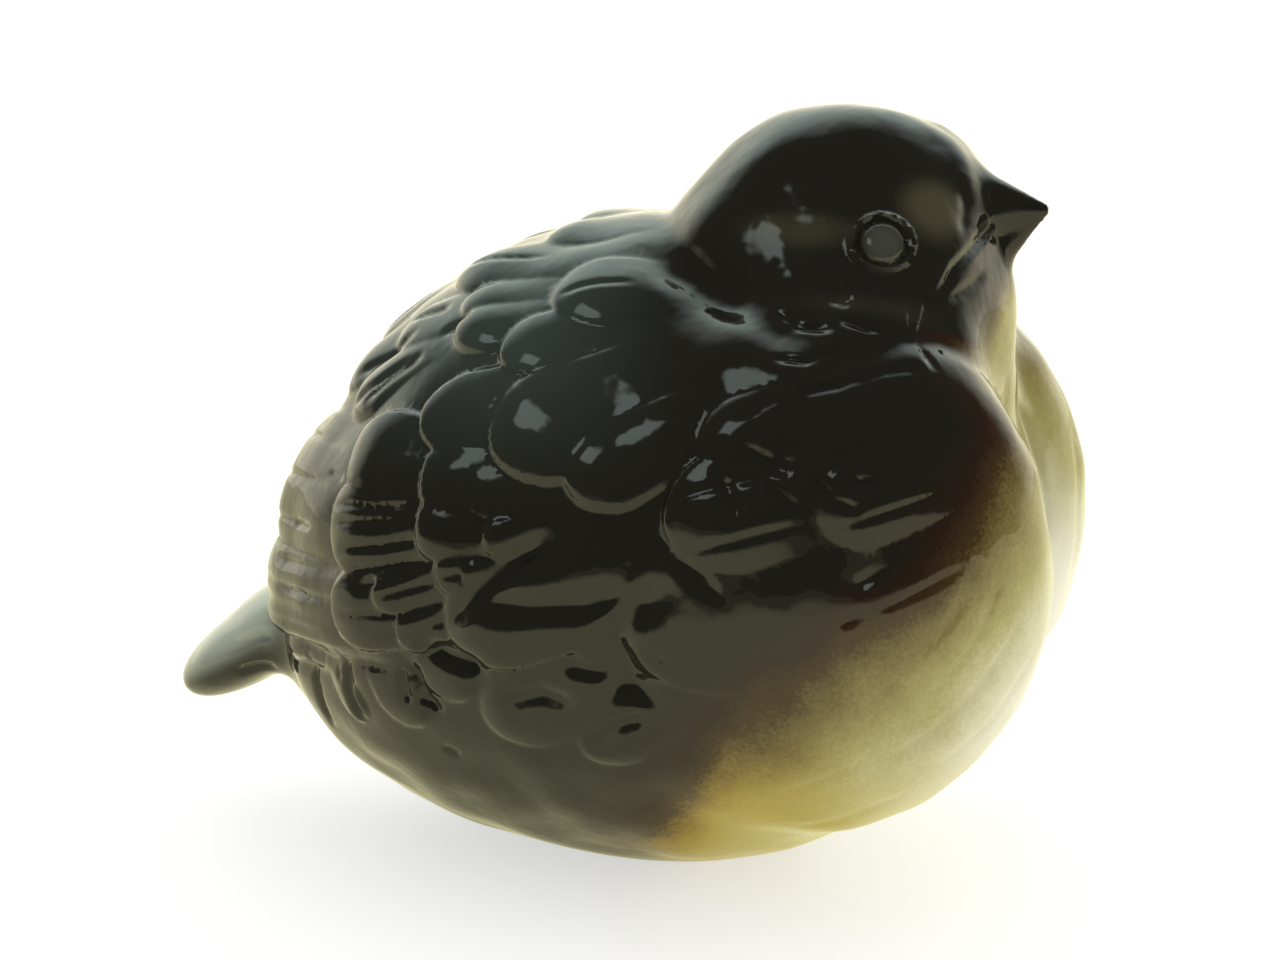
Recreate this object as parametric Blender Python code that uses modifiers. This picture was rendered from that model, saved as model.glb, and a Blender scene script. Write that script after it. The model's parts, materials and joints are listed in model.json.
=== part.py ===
"""A plump glazed-ceramic bird figurine, slip-cast in one hollow piece that sits on its belly.

Frame: metres, +Z up. The bird faces +X and its right side is -Y. The origin is the middle of the flat
foot under the belly. The skin is built as a sculptor would build it: blended masses of clay first, then
feathers, tufts and cut lines on that skin, and last the casting hollow and its vent.
Sizes are in millimetres and angles in degrees, until the mesh is scaled to metres at the end.
"""

import math
from collections import namedtuple

import bmesh
import bpy
import numpy as np
from mathutils import Matrix, Vector

MM = 0.001

# Torso, full lengths
TORSO_LENGTH = 96.0
TORSO_WIDTH = 81.0
TORSO_HEIGHT = 86.0
FOOT_CUT = 2.0
FOOT_EDGE_ROUND = 1.5

# Masses that fill the torso out
RUMP_LENGTH = 67.0
RUMP_WIDTH = 64.0
RUMP_HEIGHT = 62.0
RUMP_INSIDE_REAR = 28.0
RUMP_BELOW = 8.0
BREAST_LENGTH = 61.0
BREAST_WIDTH = 44.0
BREAST_HEIGHT = 68.0
BREAST_INSIDE_FRONT = 26.4
BREAST_ABOVE = 2.0
BREAST_APART = 38.0
WING_LENGTH = 48.0
WING_THICKNESS = 30.0
WING_HEIGHT = 46.0
WING_INSIDE_REAR = 28.5
WING_BELOW = 1.0
WING_APART = 44.0
WING_PITCH = 14.0
WING_TOE_IN = 14.0

# Head, nape, neck, throat and cheeks make the hood
HEAD_LENGTH = 37.0
HEAD_WIDTH = 33.5
HEAD_HEIGHT = 30.0
HEAD_INSIDE_FRONT = 24.5
HEAD_SINK = 15.1
HEAD_PITCH = -8.0
NAPE_LENGTH = 33.0
NAPE_WIDTH = 35.0
NAPE_HEIGHT = 23.4
NAPE_PITCH = 32.0
NAPE_BEHIND_HEAD = 10.5
NAPE_BELOW_HEAD = 3.4
NECK_LENGTH = 50.0
NECK_WIDTH = 43.0
NECK_HEIGHT = 40.0
NECK_PITCH = 38.0
NECK_BEHIND_HEAD = 6.5
NECK_BELOW_HEAD = 13.5
CHEEK_LENGTH = 38.0
CHEEK_WIDTH = 31.0
CHEEK_HEIGHT = 29.0
CHEEK_PITCH = 32.0
CHEEK_BEHIND_HEAD = 1.0
CHEEK_BELOW_HEAD = 13.5
CHEEKS_APART = 19.0
THROAT_LENGTH = 19.0
THROAT_WIDTH = 24.0
THROAT_HEIGHT = 32.0
THROAT_AHEAD = 11.5
THROAT_BELOW_HEAD = 15.5

# The hood meets the body in a tight crease at the nape that softens towards the throat
NAPE_CREASE = 1.2
THROAT_CREASE = 7.0
CREASE_SOFTENS_FROM = 12.0
CREASE_SOFT_BY = 32.0

# Beak: two round cones, placed from the head's middle
BILL_ROOT_AHEAD = 10.5
BILL_ROOT_ABOVE = 1.6
BILL_ROOT_DIAMETER = 15.2
BILL_TIP_AHEAD = 24.8
BILL_TIP_ABOVE = 2.0
JAW_ROOT_AHEAD = 12.0
JAW_ROOT_BELOW = 6.0
JAW_ROOT_DIAMETER = 11.2
JAW_TIP_AHEAD = 23.5
JAW_TIP_ABOVE = 0.8
BEAK_TIP_DIAMETER = 1.2
BEAK_FILLET = 1.5
GAPE_FILLET = 0.8

# Tail, and the soft feathers that carry it from below
TAIL_LENGTH = 29.0
TAIL_WIDTH = 17.6
TAIL_THICKNESS = 10.8
TAIL_PITCH = 34.0
TAIL_PAST_REAR = 9.7
TAIL_BELOW = 16.8
TAIL_BED_LENGTH = 25.0
TAIL_BED_WIDTH = 18.0
TAIL_BED_HEIGHT = 12.0
TAIL_BED_PITCH = -30.0
TAIL_BED_INSIDE_REAR = 3.0
TAIL_BED_BELOW = 20.5

# Fillets between the masses
TORSO_FILLET = 6.0
BREAST_FILLET = 4.0
WING_FILLET = 3.0
CHEEK_FILLET = 6.0
HOOD_FILLET = 4.0
THROAT_FILLET = 5.0
TAIL_FILLET = 4.0

# Eye, placed by angles from the head's middle
EYE_DIAMETER = 5.2
EYE_PROUD = 1.0
EYELID_DIAMETER = 7.1
EYELID_WIDTH = 1.0
EYELID_PROUD = 0.7
EYE_CHANNEL_DEPTH = 0.6
EYE_CHANNEL_DIAMETER = 5.7
EYE_CHANNEL_WIDTH = 0.7
EYE_AROUND = 70.0
EYE_ABOVE = -1.0

# Feathers
RIM_WIDTH = 0.8
CROWN_SHARE = 0.62
ROOT_FLARE = 0.75
OUTLINE_POWER = 2.4
BARB_DEPTH = 0.3
BARB_WIDTH = 1.0
FOOT_CLEARANCE = 4.0

# Casting
WALL = 4.0
VENT_DIAMETER = 9.0
VENT_BEHIND = 7.5

# Mesh
CLAY_STEP = 0.9
SKIN_TRIANGLES = 10400
VENT_SIDES = 32

Mass = namedtuple("Mass", "middle lengths pitch yaw fillet")
Feather = namedtuple("Feather", "tip root width height crisp barbs")
Cut = namedtuple("Cut", "route width depth")

# The masses keep their places from the torso's front and rear ends
TORSO = np.array([0.0, 0.0, TORSO_HEIGHT / 2 - FOOT_CUT])
FRONT = TORSO_LENGTH / 2
HEAD = TORSO + [FRONT - HEAD_INSIDE_FRONT, 0, TORSO_HEIGHT / 2 + HEAD_HEIGHT / 2 - HEAD_SINK]
TAIL = TORSO - [FRONT + TAIL_PAST_REAR, 0, TAIL_BELOW]


def body_masses():
    """The ellipsoids of the body, the torso first, with one breast and one wing to each side."""
    torso = (TORSO_LENGTH, TORSO_WIDTH, TORSO_HEIGHT)
    rump = (RUMP_LENGTH, RUMP_WIDTH, RUMP_HEIGHT)
    breast = (BREAST_LENGTH, BREAST_WIDTH, BREAST_HEIGHT)
    wing = (WING_LENGTH, WING_THICKNESS, WING_HEIGHT)
    bed = (TAIL_BED_LENGTH, TAIL_BED_WIDTH, TAIL_BED_HEIGHT)
    tail = (TAIL_LENGTH, TAIL_WIDTH, TAIL_THICKNESS)
    masses = [
        Mass(TORSO, torso, 0, 0, 0),
        Mass(TORSO + [RUMP_INSIDE_REAR - FRONT, 0, -RUMP_BELOW], rump, 0, 0, TORSO_FILLET),
    ]
    for side in (-1, 1):
        breast_place = TORSO + [FRONT - BREAST_INSIDE_FRONT, side * BREAST_APART / 2, BREAST_ABOVE]
        wing_place = TORSO + [WING_INSIDE_REAR - FRONT, side * WING_APART / 2, -WING_BELOW]
        masses.append(Mass(breast_place, breast, 0, 0, BREAST_FILLET))
        masses.append(Mass(wing_place, wing, WING_PITCH, side * WING_TOE_IN, WING_FILLET))
    bed_place = TORSO + [TAIL_BED_INSIDE_REAR - FRONT, 0, -TAIL_BED_BELOW]
    masses.append(Mass(bed_place, bed, TAIL_BED_PITCH, 0, TAIL_FILLET))
    masses.append(Mass(TAIL, tail, TAIL_PITCH, 0, TAIL_FILLET))
    return masses


def hood_masses():
    """The ellipsoids of head, nape, neck, throat and both cheeks."""
    head = (HEAD_LENGTH, HEAD_WIDTH, HEAD_HEIGHT)
    nape = (NAPE_LENGTH, NAPE_WIDTH, NAPE_HEIGHT)
    neck = (NECK_LENGTH, NECK_WIDTH, NECK_HEIGHT)
    throat = (THROAT_LENGTH, THROAT_WIDTH, THROAT_HEIGHT)
    cheek = (CHEEK_LENGTH, CHEEK_WIDTH, CHEEK_HEIGHT)
    masses = [
        Mass(HEAD, head, HEAD_PITCH, 0, 0),
        Mass(HEAD - [NAPE_BEHIND_HEAD, 0, NAPE_BELOW_HEAD], nape, NAPE_PITCH, 0, HOOD_FILLET),
        Mass(HEAD - [NECK_BEHIND_HEAD, 0, NECK_BELOW_HEAD], neck, NECK_PITCH, 0, HOOD_FILLET),
        Mass(HEAD + [THROAT_AHEAD, 0, -THROAT_BELOW_HEAD], throat, 0, 0, THROAT_FILLET),
    ]
    for side in (-1, 1):
        place = HEAD + [-CHEEK_BEHIND_HEAD, side * CHEEKS_APART / 2, -CHEEK_BELOW_HEAD]
        masses.append(Mass(place, cheek, CHEEK_PITCH, 0, CHEEK_FILLET))
    return masses


# Each half of the beak: root, root radius, tip
BEAK_HALVES = [
    (
        HEAD + [BILL_ROOT_AHEAD, 0, BILL_ROOT_ABOVE],
        BILL_ROOT_DIAMETER / 2,
        HEAD + [BILL_TIP_AHEAD, 0, BILL_TIP_ABOVE],
    ),
    (
        HEAD + [JAW_ROOT_AHEAD, 0, -JAW_ROOT_BELOW],
        JAW_ROOT_DIAMETER / 2,
        HEAD + [JAW_TIP_AHEAD, 0, JAW_TIP_ABOVE],
    ),
]


def turn(pitch, yaw):
    """Columns are a mass's own axes: pitch raises its front end, yaw swings it to the left."""
    swing = Matrix.Rotation(math.radians(yaw), 3, "Z")
    return np.array(swing @ Matrix.Rotation(-math.radians(pitch), 3, "Y"))


BODY, HOOD = body_masses(), hood_masses()


def soft_ramp(value, low, high):
    share = np.clip((value - low) / (high - low), 0, 1)
    return share * share * (3 - 2 * share)


def blended(first, second, fillet):
    """The lower of two distances, with a fillet about as wide as asked where they meet."""
    overlap = np.maximum(fillet - np.abs(first - second), 0) / np.maximum(fillet, 1e-6)
    return np.minimum(first, second) - overlap**2 * fillet / 4


def ellipsoid_distance(points, mass):
    """Distance to an ellipsoid's surface, negative inside, close enough near the surface."""
    local = (points - mass.middle) @ turn(mass.pitch, mass.yaw)
    radii = np.array(mass.lengths) / 2
    scaled = np.sqrt(((local / radii) ** 2).sum(axis=1))
    slope = np.sqrt(((local / radii**2) ** 2).sum(axis=1))
    return scaled * (scaled - 1) / np.maximum(slope, 1e-6)


def masses_distance(points, masses):
    distance = ellipsoid_distance(points, masses[0])
    for mass in masses[1:]:
        distance = blended(distance, ellipsoid_distance(points, mass), mass.fillet)
    return distance


def cone_distance(points, root, root_radius, tip):
    """Distance to a cone with a round tip."""
    run = tip - root
    share = np.clip((points - root) @ run / (run @ run), 0, 1)
    nearest = root + share[:, None] * run
    radius = root_radius + (BEAK_TIP_DIAMETER / 2 - root_radius) * share
    return np.linalg.norm(points - nearest, axis=1) - radius


def skin_distance(points):
    """Distance to the smooth skin, before any feather is cut, with the foot sliced flat at Z = 0."""
    bill, jaw = [cone_distance(points, *half) for half in BEAK_HALVES]
    beak = blended(bill, jaw, GAPE_FILLET)
    hood = blended(masses_distance(points, HOOD), beak, BEAK_FILLET)
    softer = soft_ramp(points[:, 0], CREASE_SOFTENS_FROM, CREASE_SOFT_BY)
    crease = NAPE_CREASE + (THROAT_CREASE - NAPE_CREASE) * softer
    distance = blended(masses_distance(points, BODY), hood, crease)
    return -blended(-distance, points[:, 2], FOOT_EDGE_ROUND)


def skin_slope(points, step=0.1):
    """Outward unit normals of the smooth skin."""
    slope = np.empty_like(points)
    for axis in range(3):
        nudge = np.zeros(3)
        nudge[axis] = step
        slope[:, axis] = skin_distance(points + nudge) - skin_distance(points - nudge)
    return slope / np.maximum(np.linalg.norm(slope, axis=1), 1e-9)[:, None]


def settle(points, rounds):
    """Moves points onto the skin."""
    for _ in range(rounds):
        points = points - skin_slope(points) * skin_distance(points)[:, None]
    return points


def on_skin(middle, angles, side):
    """The outermost point of the skin on a ray from a middle: 0 is the breast, 90 the flank."""
    around, above = math.radians(angles[0]), math.radians(angles[1])
    ray = np.array(
        [
            math.cos(above) * math.cos(around),
            side * math.cos(above) * math.sin(around),
            math.sin(above),
        ]
    )
    reach = TORSO_LENGTH
    for _ in range(70):
        reach -= skin_distance((middle + ray * reach)[None])[0] * 0.9
    return middle + ray * reach


# Plumage of one side. A feather has a tip and a root, each an angle around the torso's middle and an
# angle above it. The far side is the mirror image.
WING_ROWS = {
    "primaries": [
        Feather((176, 9), (134, 15), 23.0, 2.8, 0.2, 3),
        Feather((173, -6), (128, -4), 11.0, 2.4, 0.35, 1),
        Feather((168, -10.5), (133, -9), 5.5, 2.4, 0.5, 1),
    ],
    "secondaries": [
        Feather((140, 19), (112, 22), 14.0, 3.0, 0.45, 1),
        Feather((140, 6.5), (114, 12), 13.0, 2.9, 0.45, 3),
        Feather((140, -5), (116, -3), 11.0, 2.7, 0.5, 2),
        Feather((131, -2), (112, 5), 6.5, 2.5, 0.5, 1),
        Feather((127, -8), (111, -1), 6.5, 2.4, 0.5, 1),
    ],
    "coverts": [
        Feather((124.5, 19), (104, 22), 11.5, 3.0, 0.45, 1),
        Feather((123, 9.5), (104, 12.5), 8.0, 2.9, 0.45, 1),
        Feather((119.5, 3), (104, 7), 6.0, 2.1, 0.5, 1),
    ],
    "small_coverts": [
        Feather((116.5, 17.5), (99, 19), 7.5, 1.9, 0.5, 0),
        Feather((111.5, 10.5), (97, 12), 6.0, 1.9, 0.5, 0),
        Feather((114.5, 3.5), (99, 6), 5.0, 2.0, 0.5, 0),
    ],
}

LOBES = [
    # shoulder feathers that drape over the wing
    Feather((129.5, 28.5), (101, 43), 11.5, 3.3, 0.4, 0),
    Feather((107.5, 23), (82, 41), 14.0, 3.0, 0.3, 1),
    Feather((94.5, 21.5), (70, 33), 10.0, 2.4, 0.3, 1),
    Feather((119, 40.5), (94, 52), 10.0, 2.6, 0.35, 0),
    Feather((135, 42), (109, 53), 9.0, 2.3, 0.3, 0),
    # back
    Feather((160, 51), (112, 67), 12.0, 2.2, 0.15, 1),
    Feather((115, 53.5), (76, 61), 13.0, 2.5, 0.2, 1),
    Feather((150, 66), (97, 84), 11.0, 2.2, 0.1, 0),
    Feather((142, 47.5), (112, 57), 8.5, 1.8, 0.2, 0),
    Feather((160, 36), (136, 50), 9.0, 1.8, 0.2, 2),
    Feather((149, 25), (139, 43), 7.5, 2.0, 0.3, 1),
    Feather((163, 27), (155, 43), 9.0, 1.7, 0.2, 2),
    Feather((177, 32), (172, 54), 10.5, 1.6, 0.15, 2),
    # flank
    Feather((118, -5), (80, 6), 15.0, 3.4, 0.2, 0),
    Feather((114, -22), (84, -13), 12.0, 1.8, 0.05, 0),
    Feather((95, -27), (72, -13), 10.0, 1.4, 0.05, 0),
    Feather((86.5, -5), (50, 6), 22.0, 3.2, 0.25, 0),
    Feather((79, 14), (50, 19), 17.0, 2.8, 0.25, 2),
    Feather((73, 26), (48, 30), 11.0, 2.0, 0.1, 0),
    # tufts under the wing
    Feather((141, -25), (147, -11), 7.0, 1.3, 0.3, 0),
    Feather((128, -25), (133, -10), 8.5, 1.4, 0.3, 0),
    Feather((116, -19), (122, -8), 9.0, 1.4, 0.3, 0),
    # breast
    Feather((57, 15), (30, 19), 11.0, 1.9, 0.15, 2),
    Feather((52, 1), (32, 9), 10.0, 1.2, 0.1, 1),
]

# Partings and strokes, cut with a wire tool. Routes are angles like those of the feathers.
BODY_GROOVES = [
    # under the hood, from the nape round the cheek to the throat
    Cut([(100, 72), (88, 70), (81, 66), (68, 61), (61, 52), (57, 45), (51, 36)], 1.4, 0.8),
    Cut([(57, 42), (50, 36), (44, 36), (38, 37), (29, 35), (21, 31), (17, 28)], 2.0, 0.6),
    Cut([(50, 32), (43, 33), (36, 32)], 0.8, 0.4),
    # folds of the breast, beside its middle parting
    Cut([(6, 30), (9, 18), (8, 6), (5, -8)], 1.4, 0.6),
    Cut([(20, 16), (17, 4), (18, -8)], 0.9, 0.35),
    Cut([(36, 8), (40, 0), (47, -9), (52, -14)], 0.8, 0.45),
    Cut([(33, 5), (37, -4), (43, -12)], 0.7, 0.4),
    Cut([(29, 0), (34, -9), (41, -17), (46, -21)], 0.8, 0.45),
    Cut([(25, -4), (30, -14), (38, -23)], 0.7, 0.35),
    Cut([(45, -17), (52, -25), (58, -31)], 0.8, 0.35),
    Cut([(38, -26), (44, -33), (52, -40)], 0.8, 0.35),
    # strokes on the brown breast
    Cut([(66, 27), (62, 24), (59, 21)], 0.6, 0.45),
    Cut([(70, 24), (67, 19), (66, 15)], 0.6, 0.5),
    Cut([(63, 21), (60, 18), (58, 16)], 0.6, 0.45),
    Cut([(56, 21), (54, 17), (50, 15)], 0.6, 0.45),
    Cut([(52, 20), (48, 18)], 0.6, 0.4),
    Cut([(77, 10), (72, 7), (69, 3)], 0.7, 0.5),
    Cut([(74, 7), (70, 4)], 0.6, 0.45),
    Cut([(52, 5), (47, 8)], 0.7, 0.5),
    Cut([(54, 0), (50, 2)], 0.6, 0.4),
    # the wing's lower edge stands clear of the body
    Cut([(169, -13), (155, -13.5), (145, -14.5), (136, -13.5), (131, -13.5), (124, -11)], 1.1, 0.8),
    Cut([(98, 13), (101, 11), (108, 4), (114, -2), (118, -6)], 1.5, 1.0),
    # tuft partings, drawn down and forward
    Cut([(140, -13), (142, -19), (141, -25)], 0.9, 1.1),
    Cut([(143, -13), (144, -18)], 0.5, 0.5),
    Cut([(128, -13), (128, -17), (128, -20)], 0.7, 0.8),
    Cut([(126, -12), (125, -19), (122, -22)], 0.9, 1.1),
    Cut([(123, -8), (117, -10.5), (110, -12)], 1.6, 1.2),
    Cut([(154, -14), (154, -20), (156, -25), (157, -28)], 0.9, 0.8),
    Cut([(126, -29), (123, -31)], 0.6, 0.4),
    Cut([(109, -18), (101, -16), (94, -18)], 1.5, 0.9),
    Cut([(93, -26), (87, -21), (80, -18)], 1.3, 0.9),
    Cut([(83, -6), (77, -8)], 0.5, 0.35),
    # the fold across the flank, and the valley behind the breast lobe
    Cut([(113, 0), (102, 0), (92, 1), (82, 4)], 1.7, 1.1),
    Cut([(76, 6), (83, 1), (87, -5), (85, -13), (77, -17)], 2.2, 1.5),
    Cut([(97, -10), (90, -11), (86, -10)], 1.3, 0.8),
    # back strokes
    Cut([(157, 41), (146, 47)], 0.7, 0.5),
    Cut([(156, 31), (147, 39)], 0.7, 0.6),
    Cut([(161, 30), (153, 39)], 0.7, 0.5),
]

# On the head and the tail the angles are taken from their own middles.
HEAD_GROOVES = [
    # gape of the beak, nostril and the edge of the plumage round the bill
    Cut([(46, -20), (41, -18), (29, -11), (20, -7), (11, -3)], 0.6, 0.55),
    Cut([(50, -23), (40, -24), (26, -19), (14, -14)], 0.7, 0.4),
    Cut([(10, 13), (7, 11)], 0.5, 0.4),
    Cut([(24, 18), (29, 9), (36, 0)], 1.0, 0.2),
    # ruffle behind the jaw, and strokes on the cheek
    Cut([(57, -15), (58, -19), (63, -22), (61, -26)], 0.7, 0.65),
    Cut([(62, -16), (64, -20), (69, -22)], 0.6, 0.5),
    Cut([(103, -17), (94, -19), (84, -19)], 0.6, 0.45),
    Cut([(99, -22), (90, -22.5), (80, -21)], 0.6, 0.45),
    Cut([(92, -26), (83, -25), (75, -24)], 0.6, 0.4),
    Cut([(88, -14), (80, -15)], 0.6, 0.35),
]

TAIL_GROOVES = [
    Cut([(60, 15), (75, 12), (98, 5), (120, 1)], 0.8, 0.6),
    Cut([(54, 4), (78, 0), (104, -6)], 0.8, 0.55),
    Cut([(60, -18), (82, -22), (104, -27)], 0.7, 0.4),
]

# The brow is a soft ridge from the crown down to the root of the bill.
BROW = Cut([(24, 58), (12, 40), (17, 25), (26, 13)], 2.4, 0.4)


def feather_height(points, feather, side):
    """Which points a feather can reach, and how far it lifts them."""
    tip, root = on_skin(TORSO, feather.tip, side), on_skin(TORSO, feather.root, side)
    centre = (tip + root) / 2
    along = tip - root
    length = np.linalg.norm(along)
    along /= length
    outward = skin_slope(centre[None])[0]
    across = np.cross(outward, along)
    across /= np.linalg.norm(across)
    near = np.flatnonzero((np.abs(points - centre) < length / 2 + feather.width).all(axis=1))
    offset = points[near] - root
    u, v = offset @ along, offset @ across
    half = feather.width / 2
    crown = min(feather.width * CROWN_SHARE, length * 0.7)
    bend = np.clip((u - length + crown) / crown, 0, None)
    flare = ROOT_FLARE + (1 - ROOT_FLARE) * np.clip(u / (length - crown), 0, 1)
    sideways = np.abs(v) / (half * flare)
    reach = (bend**OUTLINE_POWER + sideways**OUTLINE_POWER) ** (1 / OUTLINE_POWER)
    inside = np.clip(1 - reach, 0, 1)
    pillow = inside * (2 - inside)
    rim = soft_ramp(inside * half, 0, RIM_WIDTH)
    rise = np.clip(u / length, 0, 1) ** 1.2
    height = feather.height * rise * (feather.crisp * rim + (1 - feather.crisp) * pillow)
    for barb in range(feather.barbs):
        lane = (barb - (feather.barbs - 1) / 2) * feather.width / (feather.barbs + 0.6)
        span = soft_ramp(u / length, 0.3, 0.46) * soft_ramp(u / length, 0.92, 0.8)
        height -= BARB_DEPTH * span * rim * np.exp(-(((v - lane) * 2 / BARB_WIDTH) ** 2))
    height[(np.abs(offset @ outward) > length) | (u < 0)] = 0
    return near, height


def cut_depth(points, middle, cut, side):
    """Which points a groove can reach, and how deep it is there, fading out at both its ends."""
    route = [on_skin(middle, angles, side) for angles in cut.route]
    low = np.min(route, axis=0) - cut.width * 4
    high = np.max(route, axis=0) + cut.width * 4
    near = np.flatnonzero(((points > low) & (points < high)).all(axis=1))
    local = points[near]
    best = np.full(len(near), TORSO_LENGTH)
    place = np.zeros(len(near))
    walked = 0.0
    for a, b in zip(route, route[1:]):
        run = b - a
        span = np.linalg.norm(run)
        share = np.clip((local - a) @ run / span**2, 0, 1)
        gap = np.linalg.norm(local - a - share[:, None] * run, axis=1)
        closer = gap < best
        best[closer] = gap[closer]
        place[closer] = (walked + share * span)[closer]
        walked += span
    fade = np.clip(np.minimum(place, walked - place) / (walked * 0.22), 0, 1)
    return near, cut.depth * fade * np.exp(-((best / cut.width) ** 2))


def eye_height(points, side):
    """A domed eyeball, a channel round it and a ring of eyelid."""
    seat = on_skin(HEAD, (EYE_AROUND, EYE_ABOVE), side)
    distance = np.linalg.norm(points - seat, axis=1)
    from_lid = (distance * 2 - EYELID_DIAMETER) / EYELID_WIDTH
    from_channel = (distance * 2 - EYE_CHANNEL_DIAMETER) / EYE_CHANNEL_WIDTH
    dome = EYE_PROUD * np.sqrt(np.clip(1 - (distance * 2 / EYE_DIAMETER) ** 2, 0, 1))
    return dome + EYELID_PROUD * np.exp(-(from_lid**2)) - EYE_CHANNEL_DEPTH * np.exp(-(from_channel**2))


def plumage(points):
    """How far every point of the skin is raised or cut by feathers, tufts and grooves."""
    lift = np.zeros(len(points))
    groove = np.zeros(len(points))
    wing = [feather for row in WING_ROWS.values() for feather in row]
    for side in (-1, 1):
        for feather in wing + LOBES:
            near, height = feather_height(points, feather, side)
            lift[near] = np.maximum(lift[near], height)
        for middle, cuts in ((TORSO, BODY_GROOVES), (HEAD, HEAD_GROOVES), (TAIL, TAIL_GROOVES)):
            for cut in cuts:
                near, depth = cut_depth(points, middle, cut, side)
                groove[near] = np.maximum(groove[near], depth)
        near, ridge = cut_depth(points, HEAD, BROW, side)
        lift[near] += ridge
        lift += eye_height(points, side)
    return lift - groove


def clear_scene():
    for thing in list(bpy.data.objects):
        bpy.data.objects.remove(thing, do_unlink=True)


def collection(name):
    made = bpy.data.collections.new(name)
    bpy.context.scene.collection.children.link(made)
    return made


def lump_of_clay():
    """Overlapping spheres, squashed to the masses, and cones, merged into one even mesh."""
    lump = bmesh.new()
    for mass in BODY + HOOD:
        place = Matrix.Translation(mass.middle) @ Matrix(turn(mass.pitch, mass.yaw)).to_4x4()
        place = place @ Matrix.Diagonal((*np.array(mass.lengths) / 2, 1))
        bmesh.ops.create_icosphere(lump, subdivisions=4, radius=1, matrix=place)
    for root, radius, tip in BEAK_HALVES:
        run = Vector(tip - root)
        place = Matrix.Translation((tip + root) / 2) @ run.to_track_quat("Z", "Y").to_matrix().to_4x4()
        bmesh.ops.create_cone(
            lump,
            cap_ends=True,
            segments=24,
            radius1=radius,
            radius2=BEAK_TIP_DIAMETER / 2,
            depth=run.length,
            matrix=place,
        )
    mesh = bpy.data.meshes.new("clay")
    lump.to_mesh(mesh)
    lump.free()
    clay = bpy.data.objects.new("clay", mesh)
    bpy.context.scene.collection.objects.link(clay)
    remesh = clay.modifiers.new("even_mesh", "REMESH")
    remesh.mode = "VOXEL"
    remesh.voxel_size = CLAY_STEP
    graph = bpy.context.evaluated_depsgraph_get()
    even = bpy.data.meshes.new_from_object(clay.evaluated_get(graph))
    bpy.data.objects.remove(clay, do_unlink=True)
    return even


def mesh_points(mesh):
    flat = np.empty(len(mesh.vertices) * 3, np.float32)
    mesh.vertices.foreach_get("co", flat)
    return flat.reshape(-1, 3).astype(float)


def set_points(mesh, points):
    mesh.vertices.foreach_set("co", points.astype(np.float32).ravel())
    mesh.update()


def relax(mesh, rounds):
    """Evens out the spacing of the points."""
    work = bmesh.new()
    work.from_mesh(mesh)
    for _ in range(rounds):
        bmesh.ops.smooth_vert(
            work, verts=work.verts, factor=0.5, use_axis_x=True, use_axis_y=True, use_axis_z=True
        )
    work.to_mesh(mesh)
    work.free()


def sculpt(mesh):
    """Settles the clay on the blended skin, then raises the plumage, and keeps the foot flat."""
    set_points(mesh, settle(mesh_points(mesh), 3))
    relax(mesh, 3)
    points = settle(mesh_points(mesh), 2)
    above_foot = np.clip(points[:, 2] / FOOT_CLEARANCE, 0, 1)
    points += skin_slope(points) * (plumage(points) * above_foot)[:, None]
    points[points[:, 2] < 0.06, 2] = 0
    set_points(mesh, points)


def glaze_material():
    material = bpy.data.materials.new("brown_glaze")
    material.use_nodes = True
    shader = material.node_tree.nodes["Principled BSDF"]
    shader.inputs["Base Color"].default_value = (0.05, 0.045, 0.03, 1)
    shader.inputs["Roughness"].default_value = 0.12
    shader.inputs["Coat Weight"].default_value = 1.0
    return material


def casting_hollow():
    """The inner wall that draining slip leaves: a smooth bag one wall's thickness inside the skin."""
    bag = bmesh.new()
    bmesh.ops.create_icosphere(bag, subdivisions=4, radius=1)
    rays = np.array([vert.co.normalized() for vert in bag.verts])
    reach = np.full(len(rays), TORSO_WIDTH / 4)
    for _ in range(80):
        gap = skin_distance(TORSO + rays * reach[:, None]) + WALL
        reach -= np.clip(gap, -2, 2) * 0.8
    for vert, point in zip(bag.verts, TORSO + rays * reach[:, None]):
        vert.co = point
    mesh = bpy.data.meshes.new("hollow")
    bag.to_mesh(mesh)
    bag.free()
    return bpy.data.objects.new("hollow", mesh)


def vent_cutter():
    drill = bmesh.new()
    bmesh.ops.create_cone(
        drill,
        cap_ends=True,
        segments=VENT_SIDES,
        radius1=VENT_DIAMETER / 2,
        radius2=VENT_DIAMETER / 2,
        depth=WALL * 4,
        matrix=Matrix.Translation((-VENT_BEHIND, 0, 0)),
    )
    mesh = bpy.data.meshes.new("vent")
    drill.to_mesh(mesh)
    drill.free()
    return bpy.data.objects.new("vent", mesh)


def build():
    clear_scene()
    parts, cutters = collection("bird_figurine"), collection("cutters")
    mesh = lump_of_clay()
    sculpt(mesh)
    mesh.name = "bird"
    bird = bpy.data.objects.new("bird", mesh)
    parts.objects.link(bird)
    mesh.materials.clear()
    mesh.materials.append(glaze_material())
    thin = bird.modifiers.new("fewer_faces", "DECIMATE")
    triangles = sum(len(face.vertices) - 2 for face in mesh.polygons)
    thin.ratio = min(1.0, SKIN_TRIANGLES / triangles)
    for cutter in (casting_hollow(), vent_cutter()):
        cutters.objects.link(cutter)
        cutter.hide_render = True
        cutter.display_type = "WIRE"
        cut = bird.modifiers.new(cutter.name, "BOOLEAN")
        cut.operation = "DIFFERENCE"
        cut.object = cutter
    for thing in (bird, *cutters.objects):
        thing.data.transform(Matrix.Scale(MM, 4))
    mesh.shade_smooth()
    mesh.set_sharp_from_angle(angle=math.radians(40))


build()
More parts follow.
